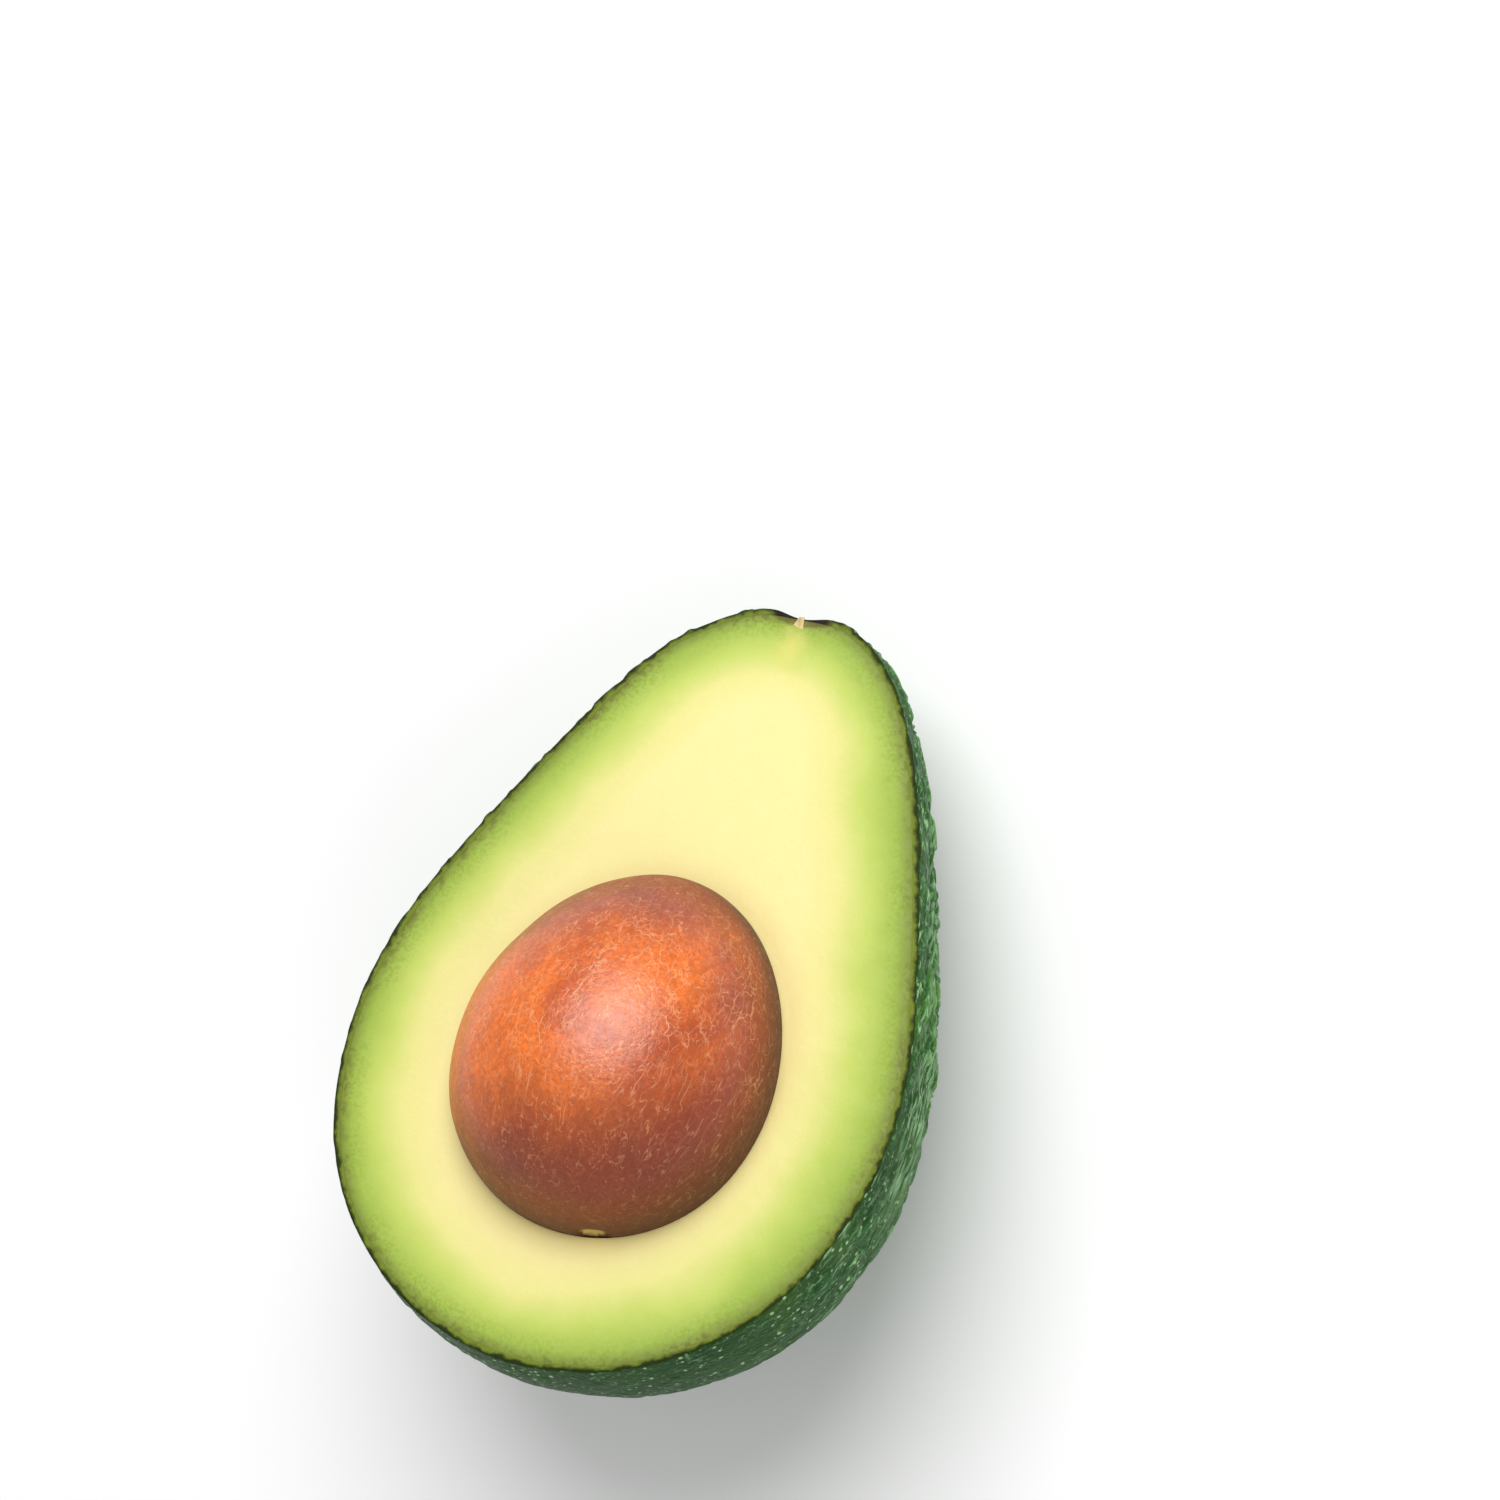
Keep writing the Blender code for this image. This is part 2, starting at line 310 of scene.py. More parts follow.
class Pear:
    """The fruit's turned outside, or a surface at some depth inside it."""

    def __init__(self, fruit, depth=0.0):
        dip = math.asin((fruit.base_offset - fruit.stem_offset) / fruit.length)
        self.foot = np.array((0, 0, -fruit.base_offset))
        self.axis = np.array((0, math.cos(dip), math.sin(dip)))
        self.length = fruit.length
        knots = [Vector((r * fruit.width / 2, s * fruit.length)) for s, r in PEAR_OUTLINE]
        knots += [
            Vector((fruit.dimple_radius + fruit.shoulder_width, fruit.length - fruit.shoulder_rise)),
            Vector((fruit.dimple_radius, fruit.length)),
            Vector((0, fruit.length + 0.1 * MM)),
        ]
        curve = np.array(smooth_through(knots, CURVE_STEPS))
        curve[0, 0] = curve[-1, 0] = 0
        along = np.gradient(curve, axis=0)
        along /= np.linalg.norm(along, axis=1)[:, None]
        curve += depth * np.stack((-along[:, 1], along[:, 0]), axis=1)
        curve[0, 0] = curve[-1, 0] = 0
        self.outline = curve
        steps = np.linalg.norm(np.diff(curve, axis=0), axis=1)
        self.arc = np.concatenate(((0,), np.cumsum(steps)))

    def place(self, points):
        """Each point's distance from the axis, and its distance along the axis from the blossom end."""
        offset = points - self.foot
        along = offset @ self.axis
        return np.linalg.norm(offset - along[:, None] * self.axis, axis=1), along

    def outside(self, points):
        """Whether each point lies outside the surface."""
        radius, along = self.place(points)
        wall = np.interp(along, self.outline[:, 1], self.outline[:, 0], left=-1, right=-1)
        return radius > wall

    def reach(self, centre, directions):
        """How far each direction runs from the centre to the surface."""
        near, far = np.zeros(len(directions)), np.full(len(directions), 2 * self.length)
        for _ in range(HALVINGS):
            middle = (near + far) / 2
            out = self.outside(centre + directions * middle[:, None])
            near, far = np.where(out, near, middle), np.where(out, middle, far)
        return near

    def depth(self, points):
        """Each point's shortest distance from the surface."""
        radius, along = self.place(points)
        spots = np.stack((radius, along), axis=1)
        shortest = np.full(len(points), np.inf)
        for start, end in zip(self.outline, self.outline[1:]):
            side = end - start
            part = np.clip((spots - start) @ side / (side @ side), 0, 1)
            gap = np.linalg.norm(spots - start - part[:, None] * side, axis=1)
            shortest = np.minimum(shortest, gap)
        return shortest

    def arc_at(self, points):
        """How far each point lies from the blossom end, measured along the skin."""
        return np.interp(self.place(points)[1], self.outline[:, 1], self.arc)


# ---------------- shaping meshes


def ball(faces):
    """A ball of even, square faces: a cube, divided and pushed out until it is round."""
    mesh = bmesh.new()
    bmesh.ops.create_cube(mesh, size=2)
    bmesh.ops.subdivide_edges(mesh, edges=mesh.edges[:], cuts=faces - 1, use_grid_fill=True)
    for v in mesh.verts:
        v.co = Vector([math.tan(c * math.pi / 4) for c in v.co]).normalized()
    return mesh


def cut_above(mesh, height, snap):
    """Cuts away what lies above a height. A corner that is closer to it than snap stays whole."""
    everything = mesh.verts[:] + mesh.edges[:] + mesh.faces[:]
    plane = {"plane_co": (0, 0, height), "plane_no": (0, 0, 1)}
    bmesh.ops.bisect_plane(mesh, geom=everything, dist=snap, clear_outer=True, **plane)


def cup(faces):
    """The lower half of a ball, open at its level rim."""
    mesh = ball(faces)
    cut_above(mesh, 0, 1e-5)
    for v in rim_of(mesh):
        v.co.z = 0
    return mesh


def rim_edges(mesh):
    return [e for e in mesh.edges if e.is_boundary]


def rim_of(mesh):
    return {v for e in rim_edges(mesh) for v in e.verts}


def corners(mesh):
    """The places of a mesh's corners, one in each row."""
    return np.array([v.co for v in mesh.verts])


def move(verts, points):
    for v, point in zip(verts, points):
        v.co = point


def middle_of(fruit):
    return np.array((0, fruit.length / 2, 0))


def wrap(mesh, pear, fruit):
    """Pushes a cup's corners out onto the pear."""
    directions = corners(mesh) * (fruit.width / 2, fruit.length / 2, fruit.width / 2)
    directions /= np.linalg.norm(directions, axis=1)[:, None]
    centre = middle_of(fruit)
    distances = pear.reach(centre, directions)
    move(mesh.verts, centre + directions * distances[:, None])


def number_rim(mesh, centre):
    """Numbers the rim's corners by their angle round the centre, and returns them in order."""

    def turn(v):
        return math.atan2(v.co.y - centre[1], v.co.x - centre[0]) % math.tau

    column = mesh.verts.layers.int.get("column") or mesh.verts.layers.int.new("column")
    ordered = sorted(rim_of(mesh), key=turn)
    for i, v in enumerate(ordered):
        v[column] = i
    return ordered


def extend_rim(mesh, edges, places):
    """Adds a ring of faces to an open rim, and puts each new corner in its column's place."""
    column = mesh.verts.layers.int["column"]
    grown = bmesh.ops.extrude_edge_only(mesh, edges=edges)["geom"]
    for v in grown:
        if isinstance(v, bmesh.types.BMVert):
            v.co = places[v[column]]
    return [e for e in grown if isinstance(e, bmesh.types.BMEdge) and e.is_boundary]


def dome(distance, width):
    """1 in the middle, falling smoothly to 0 at the width."""
    return max(0.0, 1 - (distance / width) ** 2) ** 2


def step_up(value, low, high):
    """0 below low, 1 above high, and smooth between them."""
    part = min(max((value - low) / (high - low), 0), 1)
    return part * part * (3 - 2 * part)


def keep(mesh, name, values):
    """Stores one number for each corner, for a material to read."""
    layer = mesh.verts.layers.float.get(name) or mesh.verts.layers.float.new(name)
    for v, value in zip(mesh.verts, values):
        v[layer] = value


def lean(mesh, fruit):
    """Bends the stem end a little to one side, as it grew."""
    for v in mesh.verts:
        part = step_up(v.co.y, 0.8 * fruit.length, fruit.length)
        side = min(max(v.co.x / fruit.shoulder_reach, -1), 1)
        v.co.x -= part * fruit.stem_lean
        v.co.y -= part * fruit.stem_slope * (1 - side)


def finish(mesh, name, materials, slot):
    """Moves a piece into place, and hands it to the frame in its node's stead."""
    lean(mesh, bpy.context.scene.avocado_fruit)
    bmesh.ops.transform(mesh, matrix=FACE, verts=mesh.verts)
    for v in mesh.verts:
        v.co.z = max(v.co.z, 0)
    for face in mesh.faces:
        face.smooth = True
    for edge in mesh.edges:
        edge.smooth = edge.calc_face_angle(0) < SHARPEST_CURVE
    data = bpy.data.meshes.new(name)
    mesh.to_mesh(data)
    mesh.free()
    piece = bpy.data.objects.new(name, data)
    bpy.context.scene.collection.objects.link(piece)
    for material in materials:
        data.materials.append(material)
    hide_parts(slot)
    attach(piece, "root")
    return piece


# ---------------- shader nodes


def add(tree, kind, inputs=None, **settings):
    """Adds a node, with its settings, and with its inputs linked to sockets or set to values."""
    made = tree.nodes.new(kind)
    for name, value in settings.items():
        setattr(made, name, value)
    for name, value in (inputs or {}).items():
        if isinstance(value, bpy.types.NodeSocket):
            tree.links.new(value, made.inputs[name])
        else:
            made.inputs[name].default_value = value
    return made


def maths(tree, operation, *values):
    """A sum on sockets and numbers."""
    return add(tree, "ShaderNodeMath", dict(enumerate(values)), operation=operation).outputs[0]


def times(tree, value, *others):
    """The product of sockets and numbers."""
    for other in others:
        value = maths(tree, "MULTIPLY", value, other)
    return value


def remap(tree, value, low, high, to_low=0.0, to_high=1.0):
    """A smooth step: to_low where the value is low, and to_high where it is high."""
    inputs = {"Value": value, "From Min": low, "From Max": high, "To Min": to_low, "To Max": to_high}
    made = add(tree, "ShaderNodeMapRange", inputs, interpolation_type="SMOOTHSTEP")
    return made.outputs["Result"]


def opaque(value):
    """A colour with full opacity. A socket stays as it is."""
    return value if isinstance(value, bpy.types.NodeSocket) else (*value, 1)


def blend(tree, part, first, second):
    """One colour, turned into the other by part."""
    inputs = {"Factor": part, 6: opaque(first), 7: opaque(second)}
    return add(tree, "ShaderNodeMix", inputs, data_type="RGBA").outputs[2]


def kept(tree, name):
    """Reads what keep() stored."""
    return add(tree, "ShaderNodeAttribute", attribute_name=name).outputs["Fac"]


def lengthwise(tree, where, stretch):
    """Coordinates on which a pattern comes out stretched along the fruit."""
    inputs = {"Vector": where, "Rotation": FACE.to_euler(), "Scale": (1, stretch, 1)}
    return add(tree, "ShaderNodeMapping", inputs, vector_type="TEXTURE").outputs["Vector"]


def grain(tree, where, size, detail=3.0, distortion=0.0):
    """Soft cloudy noise whose patches are about size across."""
    inputs = {"Vector": where, "Scale": 1 / size, "Detail": detail, "Distortion": distortion}
    return add(tree, "ShaderNodeTexNoise", inputs).outputs["Fac"]


def swing(tree, where, size, by, detail=4.0):
    """The same noise, but swinging about zero."""
    return maths(tree, "MULTIPLY_ADD", grain(tree, where, size, detail), by, -by / 2)


def ramp(tree, value, stops):
    """Turns a value into colours, from stops of (value, colour)."""
    made = add(tree, "ShaderNodeValToRGB", {"Fac": value})
    elements = made.color_ramp.elements
    while len(elements) < len(stops):
        elements.new(1)
    for element, (spot, tint) in zip(elements, stops):
        element.position = spot
        element.color = (*tint, 1)
    return made.outputs["Color"]


def group_tree(name, inputs, outputs):
    """A shader node group with named number inputs, besides its coordinates, and named outputs."""
    tree = bpy.data.node_groups.new(name, "ShaderNodeTree")
    tree.interface.new_socket("Vector", in_out="INPUT", socket_type="NodeSocketVector")
    for label, value in inputs.items():
        made = tree.interface.new_socket(label, in_out="INPUT", socket_type="NodeSocketFloat")
        made.default_value = value
    for label in outputs:
        tree.interface.new_socket(label, in_out="OUTPUT", socket_type="NodeSocketFloat")
    return tree, tree.nodes.new("NodeGroupInput").outputs, tree.nodes.new("NodeGroupOutput").inputs


def speckle_group():
    """Round specks of uneven size, scattered thinly: 1 inside a speck and 0 outside."""
    name = "Speckle"
    if name in bpy.data.node_groups:
        return bpy.data.node_groups[name]
    tree, given, out = group_tree(name, {"Spacing": 2 * MM, "Size": 0.2, "Share": 0.5}, ["Specks"])
    scale = maths(tree, "DIVIDE", 1.0, given["Spacing"])
    cells = add(tree, "ShaderNodeTexVoronoi", {"Vector": given["Vector"], "Scale": scale})
    chance = add(tree, "ShaderNodeSeparateColor", {"Color": cells.outputs["Color"]})
    shown = maths(tree, "LESS_THAN", chance.outputs["Red"], given["Share"])
    radius = times(tree, given["Size"], maths(tree, "ADD", chance.outputs["Green"], 0.4))
    inside = maths(tree, "SUBTRACT", 1.0, maths(tree, "DIVIDE", cells.outputs["Distance"], radius))
    tree.links.new(times(tree, remap(tree, inside, 0.0, 0.6), shown), out["Specks"])
    return tree


def mottle_group():
    """Cloudy patches with ragged edges: 0 to 1."""
    name = "Mottle"
    if name in bpy.data.node_groups:
        return bpy.data.node_groups[name]
    tree, given, out = group_tree(name, {"Size": 5 * MM, "Middle": 0.5, "Softness": 0.15}, ["Patches"])
    scale = maths(tree, "DIVIDE", 1.0, given["Size"])
    inputs = {"Vector": given["Vector"], "Scale": scale, "Detail": 5.0, "Roughness": 0.6, "Distortion": 0.4}
    cloud = add(tree, "ShaderNodeTexNoise", inputs).outputs["Fac"]
    low = maths(tree, "SUBTRACT", given["Middle"], given["Softness"])
    high = maths(tree, "ADD", given["Middle"], given["Softness"])
    tree.links.new(remap(tree, cloud, low, high), out["Patches"])
    return tree


def speckle(tree, where, spacing, size, part):
    inputs = {"Vector": where, "Spacing": spacing, "Size": size, "Share": part}
    return add(tree, "ShaderNodeGroup", inputs, node_tree=speckle_group()).outputs["Specks"]


def mottle(tree, where, size, middle=0.5, softness=0.15):
    inputs = {"Vector": where, "Size": size, "Middle": middle, "Softness": softness}
    return add(tree, "ShaderNodeGroup", inputs, node_tree=mottle_group()).outputs["Patches"]


def new_material(name):
    """A material, with its tree, its surface shader and its coordinates."""
    material = bpy.data.materials.new(name)
    material.use_nodes = True
    tree = material.node_tree
    where = add(tree, "ShaderNodeTexCoord").outputs["Object"]
    return material, tree, tree.nodes["Principled BSDF"], where


def bump(tree, shader, height, distance):
    made = add(tree, "ShaderNodeBump", {"Height": height, "Distance": distance})
    tree.links.new(made.outputs["Normal"], shader.inputs["Normal"])


# ---------------- skin


# How far soft noise bends the ridges, and the width of its waves
BEND, BEND_WIDTH = 1.3 * MM, 3.2 * MM
# The peel's broad swellings, and the width of the areas where its ridges are bold or faint
SWELL, SWELL_WIDTH, BOLD_WIDTH = 0.15 * MM, 11 * MM, 12 * MM
# The part of the relief that is left at the blossom end and along the cut
LEFT_AT_BASE, LEFT_AT_CUT = 0.22, 0.4


def skin_relief(fruit, skin, pear, points):
    """How far the peel stands out at each point: winding ridges and pebbles, calmer towards the blossom end."""
    noise.seed_set(NOISE_SEED)
    radius, along = pear.place(points)
    heights = []
    for point, r, a, s in zip(points, radius, along / fruit.length, pear.arc_at(points)):
        spot = Vector((point[0], point[2], s / skin.stretch))
        bent = spot + BEND * noise.noise_vector(spot / BEND_WIDTH)
        ridge = step_up(noise.noise(bent / skin.ridge_size), 0.02, 0.5)
        pebble = step_up(noise.noise(bent / skin.pebble_size + Vector((5, 9, 2))), 0.1, 0.5)
        bold = 0.55 + 0.45 * step_up(noise.noise(spot / BOLD_WIDTH), -0.3, 0.2)
        swell = SWELL * noise.noise(spot / SWELL_WIDTH)
        height = bold * max(ridge * skin.ridge_height, pebble * skin.pebble_height) + swell
        from_base = LEFT_AT_BASE + (1 - LEFT_AT_BASE) * step_up(a, 0.08, 0.6)
        from_cut = LEFT_AT_CUT + (1 - LEFT_AT_CUT) * step_up(-point[2], 0, 5 * MM)
        height *= from_base * from_cut
        if a > STEM_END:
            height *= step_up(r, 0.4 * fruit.dimple_radius, 1.6 * fruit.dimple_radius)
        heights.append(height)
    return np.array(heights)


def dent_dimple(fruit, pear, points):
    """Sinks the dimple into the stem end."""
    radius, along = pear.place(points)
    part = np.clip(1 - radius / fruit.dimple_radius, 0, 1) * (along > STEM_END * fruit.length)
    depth = fruit.dimple_depth * part * part * (3 - 2 * part)
    return points - depth[:, None] * pear.axis


def skin_mesh(fruit, skin):
    """The peel as a closed shell: its bumpy outside, its level cut edge and its inner wall."""
    outer, inner = Pear(fruit), Pear(fruit, skin.thickness)
    centre = middle_of(fruit)
    mesh = cup(skin.faces)
    wrap(mesh, outer, fruit)
    mesh.normal_update()
    smooth = corners(mesh)
    normals = np.array([v.normal for v in mesh.verts])
    relief = skin_relief(fruit, skin, outer, smooth)
    raised = dent_dimple(fruit, outer, smooth + relief[:, None] * normals)
    rim = rim_of(mesh)
    move(mesh.verts, raised)
    for v in mesh.verts:
        v.co.z = 0 if v in rim else min(v.co.z, -UNDER_CUT)
    radius, along = outer.place(smooth)
    scar = np.clip(1.25 - radius / fruit.dimple_radius, 0, 1) * (along > STEM_END * fruit.length)
    keep(mesh, "relief", relief / skin.ridge_height)
    keep(mesh, "along", along / fruit.length)
    keep(mesh, "scar", scar)
    keep(mesh, "cut", np.zeros(len(smooth)))
    keep(mesh, "below", -smooth[:, 2] / MM)

    # The cut edge: down a little at the outside for a rounded corner, then level to the flesh
    ordered = number_rim(mesh, centre)
    edge = np.array([v.co for v in ordered])
    directions = (edge - centre) / np.linalg.norm(edge - centre, axis=1)[:, None]
    inside = centre + directions * inner.reach(centre, directions)[:, None]
    towards = (inside - edge) / np.linalg.norm(inside - edge, axis=1)[:, None]
    for v in ordered:
        v.co.z = -skin.cut_bevel
    cut = mesh.verts.layers.float["cut"]
    ring = rim_edges(mesh)
    start = edge + skin.cut_bevel * towards
    for part in CUT_EDGE_RINGS:
        ring = extend_rim(mesh, ring, start + part * (inside - start))
        for e in ring:
            for v in e.verts:
                v[cut] = 0.3 + 0.7 * part

    # The inner wall, coarse because the flesh hides it
    wall = cup(skin.faces // 4)
    wrap(wall, inner, fruit)
    for v in rim_of(wall):
        v.co.z = -WALL_UNDER_CUT
    join(mesh, wall)
    bmesh.ops.bridge_loops(mesh, edges=rim_edges(mesh))
    bmesh.ops.recalc_face_normals(mesh, faces=mesh.faces)
    return mesh


def join(mesh, other):
    """Puts another mesh's faces into this one."""
    data = bpy.data.meshes.new("joined")
    other.to_mesh(data)
    other.free()
    mesh.from_mesh(data)
    bpy.data.meshes.remove(data)


def skin_material(skin):
    material, tree, shader, where = new_material("peel")
    relief, place, below = kept(tree, "relief"), kept(tree, "along"), kept(tree, "below")
    along = lengthwise(tree, where, 7)

    # Painted shade in the hollows and at the blossom end, lighter ridge tops that are partly a painted
    # highlight, and some fresher patches
    level = maths(tree, "ADD", relief, swing(tree, where, 1.4 * MM, 0.5, 3.0))
    tint = ramp(tree, level, [(0.0, skin.shade_green), (0.4, skin.ground), (1.0, skin.crest_and_highlight)])
    tint = blend(tree, times(tree, mottle(tree, where, 9 * MM, 0.55, 0.2), 0.3), tint, skin.fresh)
    tint = blend(tree, remap(tree, place, 0.02, 0.3, 0.8, 0.0), tint, skin.shade_green)

    # Pale streaking along the fruit, and a band of pale wrinkled painted sheen below the cut, where the side
    # catches the light
    strands = grain(tree, along, 0.6 * MM, 4.0)
    streaks_and_sheen = times(
        tree,
        remap(tree, strands, 0.52, 0.64),
        mottle(tree, along, 2.5 * MM, 0.52, 0.1),
        remap(tree, place, 0.1, 0.4, 0.35, 1.0),
    )
    # Painted sheen: a pale wrinkled band below the cut, where the side catches the light
    sheen_wrinkles = times(
        tree,
        remap(tree, strands, 0.44, 0.6),
        mottle(tree, along, 5 * MM, 0.46, 0.12),
        remap(tree, place, 0.2, 0.5, 0.0, 0.7),
        remap(tree, below, 0.0, 7.0),
        remap(tree, below, 10.0, 22.0, 1.0, 0.25),
    )
    streaks_and_sheen = maths(tree, "MAXIMUM", streaks_and_sheen, sheen_wrinkles)
    tint = blend(tree, streaks_and_sheen, tint, skin.streak_and_sheen)

    # Small pale marks and corky dots
    more = remap(tree, place, 0.05, 0.3, 0.08, 0.3)
    pale = times(tree, mottle(tree, where, 0.9 * MM, 0.6, 0.05), more)
    tint = blend(tree, pale, tint, skin.streak_and_sheen)
    fewer = remap(tree, place, 0.15, 0.8, 1.0, 0.25)
    dots = times(tree, speckle(tree, where, 1.25 * MM, 0.25, 0.75), fewer)
    tint = blend(tree, dots, tint, skin.dot)

    # The cut edge, dark outside and paler inside, and the scar in the dimple
    ragged = maths(tree, "ADD", kept(tree, "cut"), swing(tree, where, 1.6 * MM, 1.4))
    edge = ramp(tree, ragged, [(0.4, skin.rind), (0.8, skin.lining)])
    tint = blend(tree, remap(tree, kept(tree, "cut"), 0.05, 0.25), tint, edge)
    tint = blend(tree, remap(tree, kept(tree, "scar"), 0.1, 0.5), tint, skin.scar)
    tree.links.new(tint, shader.inputs["Base Color"])
    rough = remap(tree, grain(tree, where, 0.9 * MM), 0.3, 0.7, 0.4, 0.56)
    tree.links.new(rough, shader.inputs["Roughness"])
    shader.inputs["Specular IOR Level"].default_value = 0.1
    fine = maths(tree, "ADD", grain(tree, where, 0.8 * MM, 4.0), times(tree, dots, 0.5))
    fine = maths(tree, "MULTIPLY_ADD", strands, 2.5, fine)
    bump(tree, shader, fine, 0.12 * MM)
    return material


class AVOCADO_OT_skin(bpy.types.Operator):
    """Models the bumpy peel with its cut edge and its stem dimple"""

    bl_idname = "avocado.skin"
    bl_label = "Skin"

    def execute(self, context):
        skin = context.scene.avocado_skin
        mesh = skin_mesh(context.scene.avocado_fruit, skin)
        finish(mesh, "peel", [skin_material(skin)], "skin")
        return {"FINISHED"}


# ---------------- seed


def seed_place():
    """The seed's middle, level with the cut."""
    return (SEED_LOW + SEED_HIGH) / 2 * Vector((0, 1, 0))


def seed_half_size():
    return (SEED_HIGH - SEED_LOW) / 2


def egg(mesh, seed, grown_by):
    """Shapes a ball or a cup into the seed's egg."""
    half = seed_half_size() + Vector((grown_by,) * 3)
    for v in mesh.verts:
        narrow = 1 - seed.taper * v.co.y
        v.co = Vector((half.x * narrow * v.co.x, half.y * v.co.y, half.z * narrow * v.co.z))


# Where the seed was attached: almost at its blossom end, a little to one side
SCAR_DIRECTION = Vector((0.28, -0.95, 0.05)).normalized()
# The widths of the seed's broad lumps and of the smaller ones on them
LUMP_WIDTH, SMALL_LUMP_WIDTH = 11 * MM, 4 * MM


def seed_mesh(seed):
    mesh = ball(seed.faces)
    low = SCAR_DIRECTION.to_2d().normalized()
    ends = [-low.dot(v.co.to_2d()) for v in mesh.verts]
    egg(mesh, seed, 0)
    mesh.normal_update()
    half = seed_half_size()
    scar = Vector([half[i] * SCAR_DIRECTION[i] for i in range(3)])
    scars, moved = [], []
    for v in mesh.verts:
        lump = noise.noise(v.co / LUMP_WIDTH) + 0.3 * noise.noise(v.co / SMALL_LUMP_WIDTH)
        spot = v.co - scar
        spot.z *= 1.6
        dent = dome(spot.length, seed.scar_width)
        scars.append(dent)
        lump *= step_up(abs(v.co.z), 0.5 * MM, 5 * MM)
        moved.append(v.co + v.normal * (seed.lump * lump - seed.scar_depth * dent))
    keep(mesh, "height", [v.co.z / MM for v in mesh.verts])
    keep(mesh, "across", [v.co.x / half.x for v in mesh.verts])
    move(mesh.verts, moved)
    keep(mesh, "ends", ends)
    keep(mesh, "scar", scars)
    bmesh.ops.translate(mesh, verts=mesh.verts, vec=seed_place())
    return mesh


def pushed(tree, where, size, by):
    """Coordinates bent by soft noise, so that a pattern on them winds."""
    inputs = {"Vector": where, "Scale": 1 / size, "Detail": 3.0}
    cloud = add(tree, "ShaderNodeTexNoise", inputs).outputs["Color"]
    shift = add(tree, "ShaderNodeVectorMath", {0: cloud, 1: (by,) * 3}, operation="MULTIPLY").outputs[0]
    return add(tree, "ShaderNodeVectorMath", {0: where, 1: shift}).outputs[0]


def cell_veins(tree, where, spacing, width):
    """Thin lines that branch and break off: 1 on a line."""
    inputs = {"Vector": pushed(tree, where, 1.3 * spacing, 1.5 * spacing), "Scale": 1 / spacing}
    cells = add(tree, "ShaderNodeTexVoronoi", inputs, feature="DISTANCE_TO_EDGE")
    line = remap(tree, cells.outputs["Distance"], 0.0, width, 1.0, 0.0)
    return times(tree, line, mottle(tree, where, spacing * 1.4, 0.52, 0.08))


def stray_veins(tree, where, size, width):
    """Thin lines that wander without meeting: 1 on a line."""
    off = maths(tree, "ABSOLUTE", maths(tree, "SUBTRACT", grain(tree, where, size, 2.0, 0.6), 0.5))
    line = remap(tree, off, 0.0, width, 1.0, 0.0)
    return times(tree, line, mottle(tree, where, size * 0.6, 0.5, 0.1))


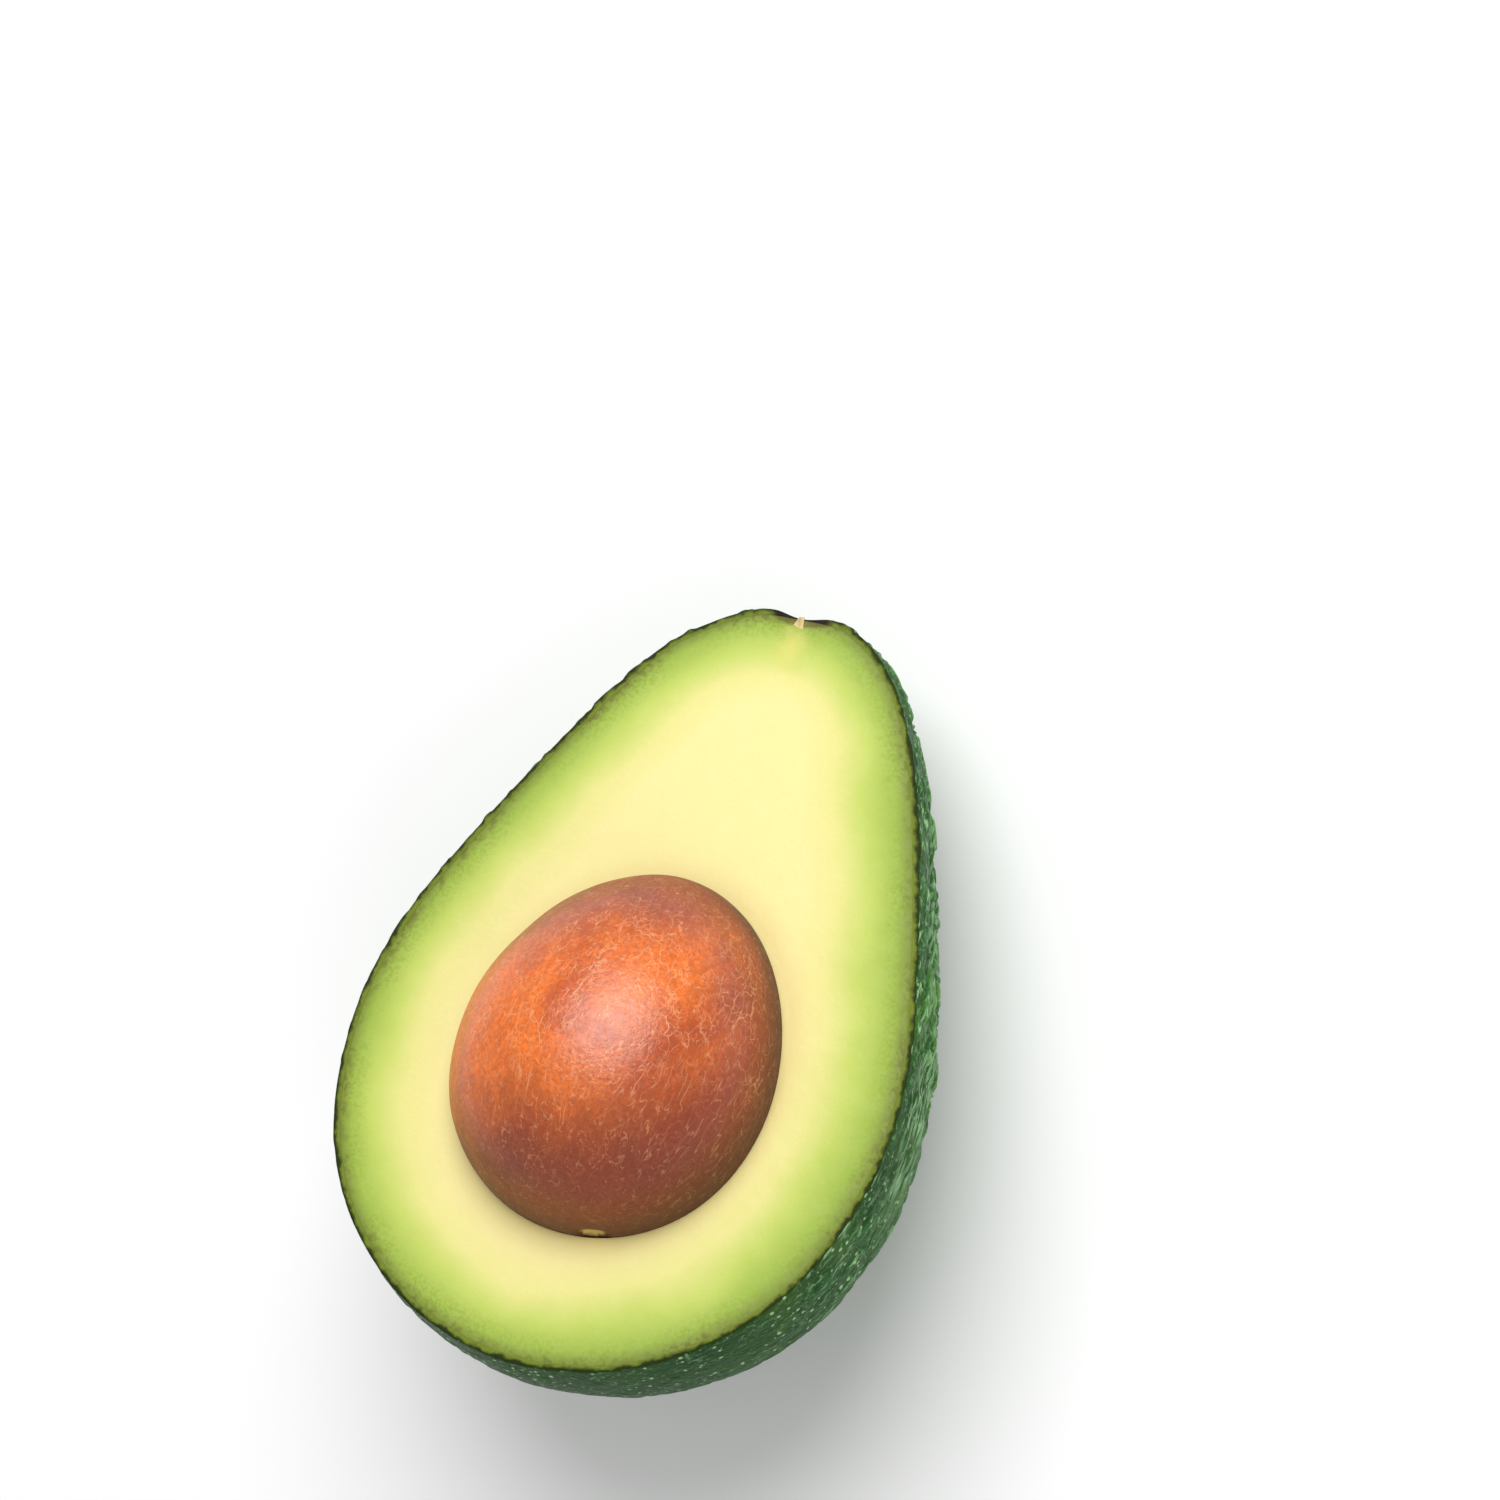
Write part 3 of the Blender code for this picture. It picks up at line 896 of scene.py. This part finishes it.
def seed_material(seed):
    material, tree, shader, where = new_material("seed coat")
    along = lengthwise(tree, where, 1.7)
    ends, height, across = kept(tree, "ends"), kept(tree, "height"), kept(tree, "across")

    # Bright and brown patches, a darker stem end, painted shade on one side and where the coat curves down into
    # the flesh, and a darker blossom end that is partly the coat's colour and partly painted shade
    # Painted shade: the bright patches lean to one side, and the other side turns darker
    patches = maths(tree, "MULTIPLY_ADD", across, -0.1, grain(tree, where, 12 * MM, 5.0, 0.4))
    coat = blend(tree, remap(tree, patches, 0.3, 0.58), seed.brown, seed.orange)
    uneven = swing(tree, along, 6 * MM, 0.36)
    level = maths(tree, "ADD", ends, uneven)
    coat = blend(tree, remap(tree, level, 0.2, 0.8, 0.0, 0.9), coat, seed.tip_and_side_shade)
    shaded = maths(tree, "MULTIPLY_ADD", uneven, 2.0, across)
    coat = blend(tree, remap(tree, shaded, 0.3, 1.0, 0.0, 0.75), coat, seed.tip_and_side_shade)
    # Partly the coat's colour, partly painted shade at the blossom end
    coat = blend(tree, remap(tree, level, -0.15, -0.8, 0.0, 0.9), coat, seed.dark)
    # Painted shade where the coat curves down into the flesh
    coat = blend(tree, remap(tree, height, 0.5, 8.0, 0.9, 0.0), coat, seed.side)

    # Fine flecks, and a net of pale veins that is strongest on the top and fades into the painted shade at the
    # blossom end and next to the flesh
    flecks = times(tree, mottle(tree, where, 0.55 * MM, 0.5, 0.15), 0.4)
    spots = times(tree, mottle(tree, along, 1.7 * MM, 0.54, 0.08), 0.3)
    coat = blend(tree, maths(tree, "MAXIMUM", flecks, spots), coat, seed.fleck)
    net = times(tree, cell_veins(tree, along, 1.9 * MM, 0.045), 0.8)
    fine = times(tree, cell_veins(tree, along, 0.9 * MM, 0.08), 0.5)
    stray = times(tree, stray_veins(tree, along, 2.1 * MM, 0.014), 0.9)
    veins = maths(tree, "MAXIMUM", maths(tree, "MAXIMUM", net, fine), stray)
    veins = times(tree, veins, remap(tree, level, -0.1, -0.5, 1.0, 0.25))
    strands = stray_veins(tree, lengthwise(tree, where, 5), 1.3 * MM, 0.03)
    strands = times(tree, strands, 0.7, remap(tree, level, -0.1, -0.4))
    veins = maths(tree, "MAXIMUM", veins, strands)
    seen = remap(tree, maths(tree, "ABSOLUTE", level), 0.3, 1.0, 0.65, 0.35)
    seen = times(tree, seen, remap(tree, height, 0.0, 7.0, 0.35, 1.0))
    coat = blend(tree, times(tree, veins, seen), coat, seed.vein)

    # The pale scar with its ragged edge
    ragged = maths(tree, "ADD", kept(tree, "scar"), swing(tree, where, 0.9 * MM, 1.2))
    coat = blend(tree, remap(tree, ragged, 0.3, 0.75), coat, seed.scar)
    tree.links.new(coat, shader.inputs["Base Color"])
    gloss = remap(tree, grain(tree, where, 1.2 * MM), 0.3, 0.7, 0.27, 0.36)
    rough = maths(tree, "ADD", gloss, remap(tree, height, 3.0, 14.0, 0.3, 0.0))
    tree.links.new(rough, shader.inputs["Roughness"])
    shader.inputs["Specular IOR Level"].default_value = 0.8
    raised = maths(tree, "MULTIPLY_ADD", veins, 0.4, grain(tree, where, 0.5 * MM, 4.0))
    bump(tree, shader, raised, 0.06 * MM)
    return material


class AVOCADO_OT_seed(bpy.types.Operator):
    """Models the seed with its veined coat and the pale scar at its base"""

    bl_idname = "avocado.seed"
    bl_label = "Seed"

    def execute(self, context):
        seed = context.scene.avocado_seed
        finish(seed_mesh(seed), "seed_coat", [seed_material(seed)], "seed")
        return {"FINISHED"}


# ---------------- flesh


# The widths of the knife's waves in the cut face, and of the ripples on them
WAVE_WIDTH, RIPPLE_WIDTH = 9 * MM, 2.5 * MM


def flesh_mesh(fruit, skin, flesh, seed):
    """The flesh as a closed body: its outside under the peel, its cut face and the seed's pocket."""
    wall = Pear(fruit, skin.thickness + flesh.gap)
    centre = middle_of(fruit)
    mesh = cup(flesh.faces)
    wrap(mesh, wall, fruit)
    outer_rim = number_rim(mesh, centre)
    edge = np.array([v.co for v in outer_rim])

    pocket = cup(flesh.faces)
    egg(pocket, seed, flesh.pocket_gap)
    seat = seed_place()
    bmesh.ops.translate(pocket, verts=pocket.verts, vec=seat)
    inner_rim = number_rim(pocket, seat)
    mouth = np.array([v.co for v in inner_rim])

    # Rings of faces from the edge to the pocket's mouth, closest together at both
    ring = rim_edges(mesh)
    for i in range(1, flesh.rings + 1):
        part = (1 - math.cos(math.pi * i / flesh.rings)) / 2
        ring = extend_rim(mesh, ring, edge + part * (mouth - edge))
    join(mesh, pocket)
    bmesh.ops.remove_doubles(mesh, verts=mesh.verts, dist=0.002 * MM)
    bmesh.ops.recalc_face_normals(mesh, faces=mesh.faces)

    points = corners(mesh)
    half = seed_half_size()
    from_seed = np.linalg.norm((points - np.array(seat)) / np.array(half), axis=1) - 1
    from_seed *= min(half)
    depths = Pear(fruit, skin.thickness).depth(points)
    keep(mesh, "depth", depths / MM)
    sideways = np.clip(points[:, 0] / SKIN_HIGH.x, 0, 1)
    keep(mesh, "greenness_depth", depths / MM * (1 - flesh.one_side * sideways))
    keep(mesh, "from_seed", from_seed / MM)
    from_dimple = points - np.array((0, fruit.length - 0.9 * fruit.dimple_depth, 0))
    from_dimple /= fruit.dimple_radius, 1.5 * MM, 3 * MM
    keep(mesh, "from_dimple", np.linalg.norm(from_dimple, axis=1))
    from_stub = (points - np.array((0, STUB_LOW.y, 0))) * (1.4, 1, 1)
    keep(mesh, "from_stub", np.linalg.norm(from_stub, axis=1) / MM)
    for v, d, s in zip(mesh.verts, depths, from_seed):
        if abs(v.co.z) < 1e-6:
            sunk = dome(d, flesh.edge_width)
            sunk += 0.8 * dome(max(s - flesh.pocket_gap, 0), flesh.edge_width)
            wave = noise.noise(v.co / WAVE_WIDTH) + 0.3 * noise.noise(v.co / RIPPLE_WIDTH)
            v.co.z = flesh.wave * wave * step_up(d, 0, 3 * MM) - flesh.edge_drop * sunk
    return mesh


def flesh_material(flesh):
    material, tree, shader, where = new_material("avocado flesh")
    depth = kept(tree, "depth")

    # From green to yellow, with cloudy borders
    cloud, inwards = swing(tree, where, 11 * MM, 4.0), remap(tree, depth, 0.0, 6.0)
    deep = maths(tree, "MULTIPLY_ADD", cloud, inwards, kept(tree, "greenness_depth"))
    stops = [
        (0.0, flesh.edge),
        (1.6, flesh.green),
        (5.0, flesh.pale_green),
        (8.5, flesh.pale_yellow),
        (13.0, flesh.yellow),
    ]
    span = 20.0
    tint = ramp(tree, maths(tree, "DIVIDE", deep, span), [(mm / span, shade) for mm, shade in stops])

    # Fine olive specks and brown flecks near the edge, in patches, and a browned rim round the stem dimple
    patchy = mottle(tree, where, 11 * MM, 0.5, 0.12)
    close = remap(tree, depth, 0.3, 4.5, 1.0, 0.0)
    more = maths(tree, "MULTIPLY_ADD", patchy, 0.45, 0.2)
    specks = times(tree, mottle(tree, where, 0.5 * MM, 0.52, 0.1), close, more)
    tint = blend(tree, specks, tint, flesh.speck)
    flecks = mottle(tree, where, 1.1 * MM, 0.52, 0.07)
    more = maths(tree, "MULTIPLY_ADD", patchy, 0.6, 0.2)
    browned = times(tree, flecks, remap(tree, depth, 0.2, 1.5, 0.75, 0.0), more)
    corky = maths(tree, "MULTIPLY_ADD", grain(tree, where, 1.0 * MM), 0.4, kept(tree, "from_dimple"))
    browned = maths(tree, "MAXIMUM", browned, remap(tree, corky, 0.9, 1.25, 0.9, 0.0))
    tint = blend(tree, browned, tint, flesh.browned)

    # A tan ring round the seed, partly the flesh's own browner seat and partly painted shade where the seed
    # meets it, and yellow round the foot of the stalk
    seat = remap(tree, kept(tree, "from_seed"), 0.0, 3.5, 0.4, 0.0)
    tint = blend(tree, seat, tint, flesh.seat)
    yellowed = maths(tree, "MULTIPLY_ADD", grain(tree, where, 1.5 * MM), 3.0, kept(tree, "from_stub"))
    tint = blend(tree, remap(tree, yellowed, 1.5, 6.5, 0.75, 0.0), tint, flesh.stalk)
    tree.links.new(tint, shader.inputs["Base Color"])
    rough = remap(tree, grain(tree, where, 2 * MM), 0.3, 0.7, 0.42, 0.55)
    tree.links.new(rough, shader.inputs["Roughness"])
    shader.inputs["Specular IOR Level"].default_value = 0.3
    shader.inputs["Subsurface Weight"].default_value = 0.2
    shader.inputs["Subsurface Radius"].default_value = (1.0, 0.8, 0.35)
    shader.inputs["Subsurface Scale"].default_value = 1.5 * MM
    bump(tree, shader, grain(tree, where, 0.9 * MM, 4.0), 0.05 * MM)
    return material


class AVOCADO_OT_flesh(bpy.types.Operator):
    """Models the flesh with its cut face and the pocket for the seed"""

    bl_idname = "avocado.flesh"
    bl_label = "Flesh"

    def execute(self, context):
        scene, flesh = context.scene, context.scene.avocado_flesh
        mesh = flesh_mesh(scene.avocado_fruit, scene.avocado_skin, flesh, scene.avocado_seed)
        finish(mesh, "cut_flesh", [flesh_material(flesh)], "flesh")
        return {"FINISHED"}


# ---------------- stem stub


# How far the stub's wood stands above the cut, and how far its buried foot lies below
STUB_PROUD, FOOT_DROP = 0.05 * MM, 0.3 * MM


def stub_mesh(stub):
    """A ragged stub of wood, tapered to its top and halved by the cut."""
    mesh = bmesh.new()
    height = STUB_HIGH.y - STUB_LOW.y
    sizes = {"radius1": stub.foot_radius, "radius2": stub.top_radius, "depth": height}
    bmesh.ops.create_cone(mesh, cap_ends=True, segments=48, **sizes)
    upright = [e for e in mesh.edges if abs(e.verts[0].co.z - e.verts[1].co.z) > height / 2]
    bmesh.ops.subdivide_edges(mesh, edges=upright, cuts=24)
    for v in mesh.verts:
        out = Vector((v.co.x, v.co.y, 0))
        v.co += out * 0.16 * noise.noise(Vector((out.x, out.y, v.co.z / 5)) / (0.6 * MM))
        v.co.z += 0.25 * MM * noise.noise(v.co / (0.5 * MM)) * (v.co.z > 0.45 * height)
    laid_down = Matrix.Rotation(-math.pi / 2, 4, "X")
    middle = Vector((0, (STUB_LOW.y + STUB_HIGH.y) / 2, 0))
    bmesh.ops.transform(mesh, matrix=Matrix.Translation(middle) @ laid_down, verts=mesh.verts)

    # The first material is for the cut, the second for the bark all round
    cut_above(mesh, STUB_PROUD, 0)
    bark = mesh.faces[:]
    bmesh.ops.holes_fill(mesh, edges=rim_edges(mesh))
    for face in bark:
        face.material_index = 1
    bmesh.ops.recalc_face_normals(mesh, faces=mesh.faces)
    keep(mesh, "depth", [(STUB_HIGH.y - v.co.y) / MM for v in mesh.verts])
    for v in mesh.verts:
        v.co.z -= FOOT_DROP * step_up(STUB_HIGH.y - v.co.y, stub.tip_length, stub.tip_length + 1 * MM)
    return mesh


def stub_material(stub, name, tint):
    """Fibres on a given colour, which turns yellow where the flesh holds the stub."""
    material, tree, shader, where = new_material(name)
    fibres = mottle(tree, lengthwise(tree, where, 3), 0.4 * MM, 0.52, 0.1)
    shade = blend(tree, times(tree, fibres, 0.5), tint, stub.fibre)
    depth = maths(tree, "ADD", kept(tree, "depth"), grain(tree, where, 0.8 * MM))
    bare = stub.tip_length / MM
    buried = remap(tree, depth, bare, bare + 1.2)
    tree.links.new(blend(tree, buried, shade, stub.root), shader.inputs["Base Color"])
    shader.inputs["Roughness"].default_value = 0.7
    bump(tree, shader, grain(tree, where, 0.4 * MM, 4.0), 0.06 * MM)
    return material


class AVOCADO_OT_stub(bpy.types.Operator):
    """Models the halved stub of the stalk in its dimple"""

    bl_idname = "avocado.stub"
    bl_label = "Stem stub"

    def execute(self, context):
        stub = context.scene.avocado_stub
        wood = stub_material(stub, "stub wood", stub.wood)
        bark = stub_material(stub, "stub bark", stub.bark)
        finish(stub_mesh(stub), "stub", [wood, bark], "stem_stub")
        return {"FINISHED"}


# ---------------- stage


# From the middle of the half to each light
KEY_PLACE = Vector((-0.02, 0.53, 0.79))
FILL_PLACE = Vector((0.7, -0.5, 0.6))


def area_light(name, place, target, width, watts):
    """A round soft light that faces its target."""
    light = bpy.data.lights.new(name, "AREA")
    light.shape = "DISK"
    light.size = width
    light.energy = watts
    lamp = bpy.data.objects.new(name, light)
    lamp.location = place
    lamp.rotation_mode = "QUATERNION"
    lamp.rotation_quaternion = (place - target).to_track_quat("Z", "Y")
    bpy.context.scene.collection.objects.link(lamp)
    return lamp


class AVOCADO_OT_stage(bpy.types.Operator):
    """Sets up the pale floor, the soft lights and the camera"""

    bl_idname = "avocado.stage"
    bl_label = "Stage"

    def execute(self, context):
        scene, stage = context.scene, context.scene.avocado_stage
        mesh = bmesh.new()
        bmesh.ops.create_grid(mesh, x_segments=1, y_segments=1, size=stage.floor_width / 2)
        data = bpy.data.meshes.new("floor")
        mesh.to_mesh(data)
        mesh.free()
        floor = bpy.data.objects.new("floor", data)
        scene.collection.objects.link(floor)
        material, _, shader, _ = new_material("pale floor")
        shader.inputs["Base Color"].default_value = (*stage.floor, 1)
        shader.inputs["Roughness"].default_value = 0.6
        shader.inputs["Specular IOR Level"].default_value = 0.2
        data.materials.append(material)

        middle = (CAD_BOX[0] + CAD_BOX[1]) / 2
        area_light("key", middle + KEY_PLACE, middle, stage.light_width, stage.key_watts)
        fill = area_light("fill", middle + FILL_PLACE, middle, stage.light_width, stage.fill_watts)
        fill.visible_glossy = False

        world = bpy.data.worlds.new("studio")
        world.use_nodes = True
        sky = world.node_tree.nodes["Background"].inputs
        sky["Color"].default_value = (1, 1, 1, 1)
        sky["Strength"].default_value = stage.sky
        scene.world = world
        scene.view_settings.view_transform = "Standard"

        camera = bpy.data.objects.new("camera", bpy.data.cameras.new("camera"))
        camera.data.lens = stage.lens
        camera.matrix_world = (
            FACE
            @ Matrix.Translation((stage.across, stage.along, 0))
            @ Matrix.Rotation(stage.around, 4, "Z")
            @ Matrix.Rotation(math.pi / 2 - stage.above, 4, "X")
            @ Matrix.Rotation(stage.roll, 4, "Z")
            @ Matrix.Translation((0, 0, stage.distance))
        )
        scene.collection.objects.link(camera)
        scene.camera = camera
        return {"FINISHED"}


# ---------------- add-on


class AVOCADO_PT_panel(bpy.types.Panel):
    """Lists the pieces of the avocado half"""

    bl_label = "Avocado Half"
    bl_idname = "AVOCADO_PT_panel"
    bl_space_type = "VIEW_3D"
    bl_region_type = "UI"
    bl_category = "Avocado"

    def draw(self, context):
        for operator in OPERATORS:
            self.layout.operator(operator.bl_idname)


SETTINGS = {
    "avocado_fruit": FruitSizes,
    "avocado_skin": SkinSizes,
    "avocado_flesh": FleshSizes,
    "avocado_seed": SeedSizes,
    "avocado_stub": StubSizes,
    "avocado_stage": StageSizes,
}
OPERATORS = (AVOCADO_OT_skin, AVOCADO_OT_flesh, AVOCADO_OT_seed, AVOCADO_OT_stub, AVOCADO_OT_stage)


def register():
    for name, settings in SETTINGS.items():
        bpy.utils.register_class(settings)
        setattr(bpy.types.Scene, name, PointerProperty(type=settings))
    for kind in (*OPERATORS, AVOCADO_PT_panel):
        bpy.utils.register_class(kind)


def unregister():
    for kind in (AVOCADO_PT_panel, *reversed(OPERATORS)):
        bpy.utils.unregister_class(kind)
    for name, settings in reversed(SETTINGS.items()):
        delattr(bpy.types.Scene, name)
        bpy.utils.unregister_class(settings)


def main():
    register()
    bpy.ops.avocado.skin()
    bpy.ops.avocado.flesh()
    bpy.ops.avocado.seed()
    bpy.ops.avocado.stub()
    bpy.ops.avocado.stage()


if __name__ == "__main__":
    main()
